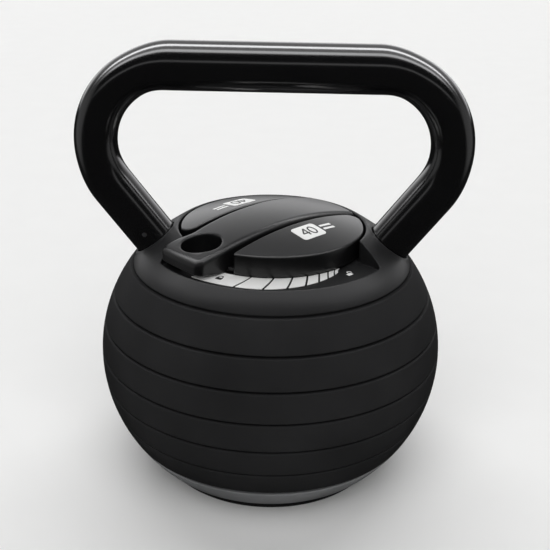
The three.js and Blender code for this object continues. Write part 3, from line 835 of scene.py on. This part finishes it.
@dataclass
class Knob:
    """The lens caps, the lever and the printed labels, drawn with the lever along +X."""

    lock_angle: float = -135.0
    radius: float = 57.3 * MM
    bottom: float = 149.8 * MM
    edge_height: float = 162.3 * MM
    crown: float = 8.1 * MM
    offset: float = 22.1 * MM
    sharp_tip: float = 1.5 * MM
    blunt_tip: float = 6.0 * MM
    lever_lift: float = 0.9 * MM
    lever_edge: float = 3.2 * MM
    waist: float = 17.2 * MM
    waist_at: float = 50 * MM
    bend_at: float = 48 * MM
    nose_at: float = 62 * MM
    reach: float = 75.3 * MM
    half_width: float = 18.2 * MM
    hole_radius: float = 12 * MM
    hole_reach: float = 57.3 * MM
    cap_edge: float = 1.2 * MM
    label_half: tuple[float, float] = (9.3 * MM, 7.0 * MM)
    number_height: float = 7.4 * MM
    side_points: int = 90

    def crown_height(self, x: Array, y: Array) -> Array:
        """Height of the caps' dome: z = edge + crown (1 - r^2 / R^2)."""
        return self.edge_height + self.crown * (1 - (x**2 + y**2) / self.radius**2)

    def lens_outline(self) -> Array:
        """Plan of the cap on the +Y side: a segment of the knob's circle with two rounded tips.

        A tip's circle of radius t touches both the chord and the rim: its centre is at
        y = offset + t and x^2 + y^2 = (R - t)^2. Both halves have the same number of points, so
        point i faces point n - 1 - i.
        """
        bend = np.linspace(0, 1, 14)
        run = np.linspace(0, 1, self.side_points)[1:-1]

        def tip(size: float) -> tuple[Array, float, Array, Array]:
            """The right tip's centre, the rim's angle there, and its two half arcs, from the chord to the rim."""
            y = self.offset + size
            x = math.sqrt((self.radius - size) ** 2 - y**2)
            rim = math.degrees(math.atan2(y, x))
            middle = (rim - 90) / 2
            low, high = polar(size, -90 + bend * (middle + 90)), polar(size, middle + bend * (rim - middle))
            return np.array([x, y]), rim, low + [x, y], high + [x, y]

        right, right_rim, right_low, right_high = tip(self.sharp_tip)
        left, left_rim, left_low, left_high = tip(self.blunt_tip)
        chord = np.column_stack([run * (right[0] + left[0]) - left[0], np.full(len(run), self.offset)])
        rim = polar(self.radius, right_rim + run * (180 - left_rim - right_rim))
        mirror = [-1, 1]
        return np.vstack([right_high[1:], rim, (left_high * mirror)[::-1][:-1],
                          (left_low * mirror)[::-1][1:], chord, right_low[:-1]])

    def lever_side(self, x: Array) -> Array:
        """Half width of the lever: widest at the tail, narrowest before the nose.

        With w the waist: w + 3.9 mm ((50 mm - x) / 105 mm)^0.75 behind 50 mm, and past it an eased
        widening of 1 mm over 12 mm.
        """
        past = x - self.waist_at
        behind = np.clip(-past / (105 * MM), 0, 1) ** 0.75
        ahead = np.clip(past / (12 * MM), 0, 1)
        return self.waist + 3.9 * MM * behind + (self.half_width - self.waist) * ahead**2 * (3 - 2 * ahead)

    def lever_outline(self) -> Array:
        """Plan of the lever: slightly curved sides, a tail on the knob's rim and a broad rounded nose."""
        x = np.linspace(-53.2, 64, 80) * MM
        side = np.column_stack([x, self.lever_side(x)])
        corner = rounded_path([(64 * MM, self.half_width), (self.reach - 0.9 * MM, self.half_width + 0.1 * MM),
                               (self.reach, 0.0)], [0, 4.6 * MM, 0], steps=12)[1:-1]
        nose_y = np.linspace(corner[-1, 1], 0, 14)[1:-1]
        bulge = 1 - (nose_y / corner[-1, 1]) ** 2
        nose = np.column_stack([corner[-1, 0] + (self.reach - corner[-1, 0]) * bulge, nose_y])
        tail_y = np.linspace(0, side[0, 1], 18)[1:-1]
        tail = np.column_stack([-np.sqrt(self.radius**2 - tail_y**2), tail_y])
        upper = np.vstack([tail, side, corner, nose])
        return np.vstack([upper[::-1], upper * [1, -1]])

    def lever_top(self, x: Array, y: Array) -> Array:
        """Top of the lever: parallel to the dome as far as the hole, then flatter, then bent down.

        Past x = 48 mm, with d the distance past it, the dome's slope there is followed less 0.13 d^2 / (d + 4 mm);
        past 62 mm the nose falls with the square of the distance.
        """
        past = np.clip(x - self.bend_at, 0, None)
        dome = self.lever_lift + self.crown_height(np.minimum(x, self.bend_at), 0.0)
        slope = 2 * self.crown * self.bend_at / self.radius**2
        flatter = slope * past - 0.13 * past**2 / (past + 4 * MM)
        nose = 11.0 * np.clip(x - self.nose_at, 0, None) ** 2
        return dome - flatter - nose - 0.7 * MM * (y / self.half_width) ** 2

    def lever_bottom(self, x: Array, y: Array) -> Array:
        """Underside of the lever, raised where it passes over the track's rim."""
        lift = np.clip((x - 60 * MM) / (self.reach - 60 * MM), 0, 1)
        return self.bottom + 2.8 * MM * lift**0.8

    def turned_to_lock(self, skin: Skin, extra: float = 0.0) -> Skin:
        """Turns a skin from the lever-along-X frame to the locked angle."""
        for points in skin.points:
            points[:, :2] = turn_plan(points[:, :2], self.lock_angle + extra)
        return skin

    def build_lenses(self) -> None:
        """Makes the two raised caps."""
        for name, extra in HALVES:
            skin = slab(self.lens_outline(), lambda x, y: np.full(np.shape(x), self.bottom), self.crown_height,
                        self.cap_edge, 20)
            cap = self.turned_to_lock(skin, extra).build(f"raised_cap_{name}", sharp=50)
            place_piece(cap, KNOB_PLASTIC, "knob", [f"lens_cap_{name}"])

    def hole_surface(self) -> Array:
        """The finger hole's wall: a cylinder whose mouth flares by a quarter circle up to the lever's top.

        Returns:
            A grid shaped (height, angle, 3), closed by poles, with the lever along +X.
        """
        flare = np.radians(np.linspace(0, 90, 7))[:, None]
        around = full_turn(96)
        lip = 1.5 * MM
        out = np.vstack([[[0.0], [self.hole_radius]], self.hole_radius + lip * (1 - np.cos(flare)),
                         [[self.hole_radius + lip], [0.0]]])
        x, y = self.hole_reach + out * np.cos(around), out * np.sin(around)
        mouth = self.lever_top(x[2:-2], y[2:-2]) - lip + (lip + 0.02 * MM) * np.sin(flare)
        flat = np.ones((1, around.size))
        z = np.vstack([145 * MM * flat, 145 * MM * flat, mouth, 178 * MM * flat, 178 * MM * flat])
        return np.stack([x, y, z], axis=-1)

    def build_lever(self) -> None:
        """Makes the lever and cuts its flared finger hole."""
        skin = slab(self.lever_outline(), self.lever_bottom, self.lever_top, self.lever_edge, 18)
        lever = self.turned_to_lock(skin).build("turn_lever", sharp=50)
        cutter = self.turned_to_lock(Skin().grid(self.hole_surface(), wrap_columns=True))
        cut_away(lever, cutter.build("cutter", sharp=60), sharp=40)
        place_piece(lever, LEVER_PLASTIC, "knob", ["lock_lever"])

    def numeral(self) -> list[Array]:
        """Strokes of the number 40 in a box 1 high: plan paths, the last of them closed."""
        turn = full_turn(40)
        four = np.array([[-0.20, -0.5], [-0.20, 0.5], [-0.72, -0.18], [-0.05, -0.18]])
        corners = np.vstack([np.linspace(a, b, 8) for a, b in zip(four[:-1], four[1:])])
        zero = np.column_stack([0.42 + 0.29 * np.cos(turn), 0.5 * np.sin(turn)])
        return [corners[:8], corners[8:16], corners[16:], zero]

    def build_labels(self) -> None:
        """Makes on each cap a white label with its dark number, and two plain white bars beside it."""
        def on_cap(lift: float) -> Heights:
            """The cap's height plus a lift."""
            return lambda x, y: self.crown_height(x, y) + lift

        def placed(path: Array) -> Array:
            """Turns a path half round, so that it reads from the front, and moves it to its place."""
            return turn_plan(path, 180.0) + polar(34.5 * MM, 86.0)

        raised, thin = 0.30 * MM, 0.12 * MM
        half_x, half_y = self.label_half
        corners = [(half_x, -half_y), (half_x, half_y), (-half_x, half_y), (-half_x, -half_y)]
        outline = np.roll(rounded_path(corners, [2.4 * MM] * 4, steps=8), 9, axis=0)
        bar = np.linspace(-4.5, 4.5, 12) * MM + half_x + 6.5 * MM
        strokes = self.numeral()
        for name, extra in HALVES:
            face = [slab(placed(outline), on_cap(-raised / 2), on_cap(raised), thin, 8)]
            face += [ribbon(placed(np.column_stack([bar, np.full(12, row)])), 1.9 * MM, on_cap(0), thin)
                     for row in (-1.9 * MM, 1.9 * MM)]
            number = [ribbon(placed(path * self.number_height), 0.95 * MM, on_cap(raised), PRINT_THICKNESS,
                             closed=path is strokes[-1]) for path in strokes]
            for kind, finish, skins, nodes in (("label", WHITE_PRINT, face, [f"label_{name}"]),
                                               ("number", DARK_PRINT, number, [])):
                piece = joined(f"rating_{kind}_{name}", [self.turned_to_lock(skin, extra) for skin in skins])
                place_piece(piece, finish, "knob", nodes)

    def build(self) -> None:
        """Makes every part of the knob that shows."""
        self.build_lenses()
        self.build_lever()
        self.build_labels()
        dress(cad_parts["knob_carrier"], KNOB_PLASTIC)
        dress(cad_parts["friction_washer"], NYLON)


@dataclass
class Spindle:
    """The turned steel spindle with its collar, clip groove and shallow grease grooves."""

    radius: float = 8 * MM
    collar: float = 13 * MM

    def build(self) -> None:
        """Makes the spindle; its lower end has a lead-in and three shallow grooves."""
        low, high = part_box("spindle")
        clip_low, clip_high = (corner[2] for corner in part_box("spindle_clip"))
        collar_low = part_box("spindle_bush")[1][2] + 0.3 * MM
        collar_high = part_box("knob_carrier")[0][2] - 0.3 * MM
        grooves = []
        for height in (30, 33, 36):
            grooves += [(self.radius, (height - 0.8) * MM), (self.radius - 0.5 * MM, height * MM),
                        (self.radius, (height + 0.8) * MM)]
        corners = [(0.0, low[2]), (self.radius, low[2]), *grooves, (self.radius, clip_low - 0.2 * MM),
                   (7 * MM, clip_low - 0.2 * MM), (7 * MM, clip_high + 0.2 * MM), (self.radius, clip_high + 0.2 * MM),
                   (self.radius, collar_low), (self.collar, collar_low), (self.collar, collar_high),
                   (self.radius, collar_high), (self.radius, high[2]), (0.0, high[2])]
        radii = [0, 1.2 * MM, *[0.25 * MM] * len(grooves), *[0.2 * MM] * 4, 0.3 * MM, 0.5 * MM, 0.5 * MM, 0.3 * MM,
                 0.6 * MM, 0]
        piece = turned_object("turned_spindle", rounded_path(corners, radii, steps=4), 96)
        place_piece(piece, TURNED_STEEL, "knob", ["spindle"])


@dataclass
class HiddenSteel:
    """CAD nodes that keep their shape and take a machined finish."""

    plain: Sequence[str] = ("leg_pin", "lock_pin", "spindle_clip")

    def build(self) -> None:
        """Dresses the nodes."""
        fasteners = [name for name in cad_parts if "screw" in name or name in self.plain]
        for names, finish in ((["head_plate"], TURNED_STEEL), (["spindle_bush"], BRONZE), (fasteners, ZINC_STEEL)):
            for name in names:
                dress(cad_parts[name], finish)
                LOG.info("%s: %s", name, finish.name)


@dataclass
class Studio:
    """The floor, the lights and the camera."""

    distance: float = 0.594
    elevation: float = math.radians(23.05)
    azimuth: float = math.radians(1.5)
    roll: float = math.radians(-0.93)
    aim_height: float = 0.1273
    side_shift: float = 0.0022
    lens: float = 60.34255
    dim: float = 0.022
    glow_strength: float = 6.0
    front_strength: float = 1.97
    back_strength: float = 1.88
    glow: tuple[tuple[float, float], ...] = ((0.0, 0.0), (0.13, 0.0), (0.15, 0.10), (0.17, 0.10), (0.19, 0.0),
                                             (0.39, 0.0), (0.42, 0.75), (0.47, 0.75), (0.49, 0.15), (0.585, 0.15),
                                             (0.605, 1.5), (0.655, 1.5), (0.675, 0.12), (0.80, 0.09),
                                             (0.87, 0.15), (0.93, 0.28), (0.985, 0.28), (1.0, 0.0))
    side_glow: float = 0.35

    def camera(self) -> None:
        """Places the camera on a circle round the axis, looking down at the ball."""
        turn = Matrix.Rotation(self.azimuth, 3, "Z")
        right = turn @ Vector((1, 0, 0))
        back = turn @ Vector((0, -math.cos(self.elevation), math.sin(self.elevation)))
        up = back.cross(right)
        place = Vector((0, 0, self.aim_height)) + right * self.side_shift + back * self.distance
        across = right * math.cos(self.roll) - up * math.sin(self.roll)
        upward = right * math.sin(self.roll) + up * math.cos(self.roll)
        data = bpy.data.cameras.new("camera")
        data.sensor_width, data.lens = 36, self.lens
        data.clip_start, data.clip_end = 0.05, 60
        camera = bpy.data.objects.new("camera", data)
        camera.matrix_world = Matrix.Translation(place) @ Matrix((across, upward, back)).transposed().to_4x4()
        bpy.context.scene.collection.objects.link(camera)
        bpy.context.scene.camera = camera

    def floor(self) -> None:
        """Makes a wide pale floor with a faint tone drift, which rises far out like a studio cove.

        With r the distance from the axis in metres: z = 0.09 (r - 3)^2 beyond 3 m.
        """
        rings = np.linspace(0, 1, 24)[:, None] ** 2 * 9
        rise = 0.09 * np.clip(rings - 3, 0, None) ** 2
        around = full_turn(48)
        grid = np.stack([rings * np.cos(around), rings * np.sin(around), rise + 0 * around], axis=-1)
        ground = Skin().grid(grid, wrap_columns=True).build("floor", sharp=60)
        dress(ground, Finish("floor_look", (0.83, 0.83, 0.825), 0.9, Grain.PRINT, specular=0.1, variation=0.006))
        ground.visible_glossy = False

    def room(self) -> None:
        """The surroundings: a dim room whose brightness depends on the angle about the handle bar.

        With a = atan2(z, -y) / pi, 0 is the front horizon, 0.5 straight up and 1 the back horizon. Two
        narrow strips overhead give the bar its streaks, and a low glow behind gives flat tops a sheen.
        """
        world = bpy.data.worlds.new("surroundings")
        world.use_nodes = True
        tree = world.node_tree
        nodes, links = tree.nodes, tree.links
        split = nodes.new("ShaderNodeSeparateXYZ")
        links.new(nodes.new("ShaderNodeTexCoord").outputs["Generated"], split.inputs["Vector"])

        def step(operation: str, *values: object) -> NodeSocket:
            """One Math node; numbers are set on its sockets and outputs are linked to them."""
            node = nodes.new("ShaderNodeMath")
            node.operation = operation
            for socket, value in zip(node.inputs, values):
                if isinstance(value, NodeSocket):
                    links.new(value, socket)
                else:
                    socket.default_value = value
            return node.outputs["Value"]

        front = step("MULTIPLY", split.outputs["Y"], -1.0)
        ramp = nodes.new("ShaderNodeValToRGB")
        links.new(step("DIVIDE", step("ARCTAN2", split.outputs["Z"], front), math.pi), ramp.inputs["Fac"])
        stops = ramp.color_ramp.elements
        for stop, (_, level) in zip(stops, (self.glow[0], self.glow[-1])):
            stop.color = (level, level, level, 1)
        for place, level in self.glow[1:-1]:
            stops.new(place).color = (level, level, level, 1)
        aside = step("ABSOLUTE", split.outputs["X"])
        glow = step("MULTIPLY", ramp.outputs["Color"], mapped(tree, aside, (0.70, 0.95), (1, 0), eased=True))
        rims = mapped(tree, aside, (0.86, 0.97), (self.dim, self.side_glow), eased=True)
        fill(nodes["Background"], {"Color": (0.99, 0.99, 1.0, 1)})
        links.new(step("MULTIPLY_ADD", glow, self.glow_strength, rims), nodes["Background"].inputs["Strength"])
        world.cycles_visibility.diffuse = False
        bpy.context.scene.world = world

    def wash(self, name: str, lean: float, strength: float) -> None:
        """Adds an even wash of light from above that makes no highlight of its own.

        Args:
            name: its name.
            lean: tilt of its direction toward the front, in degrees.
            strength: watts per square metre.
        """
        data = bpy.data.lights.new(name, "SUN")
        data.energy, data.angle = strength, math.radians(70)
        light = bpy.data.objects.new(name, data)
        light.rotation_euler = (math.radians(lean), 0, 0)
        light.visible_glossy = False
        bpy.context.scene.collection.objects.link(light)

    def lights(self) -> None:
        """The room and two even washes, one from the front and one from behind."""
        self.room()
        self.wash("front_wash", 42, self.front_strength)
        self.wash("back_wash", -35, self.back_strength)
        bpy.context.scene.view_settings.view_transform = "Standard"

    def build(self) -> None:
        """Makes the studio."""
        self.camera()
        self.floor()
        self.lights()


def main() -> None:
    """Builds the kettlebell's pieces in order, then the studio."""
    handle = Handle()
    for group in (PlateStack(), Base(), handle, Cover(handle), Scale(), Knob(), Spindle(), HiddenSteel(), Studio()):
        group.build()
        LOG.info("%s done", type(group).__name__)


if __name__ == "__main__":
    main()
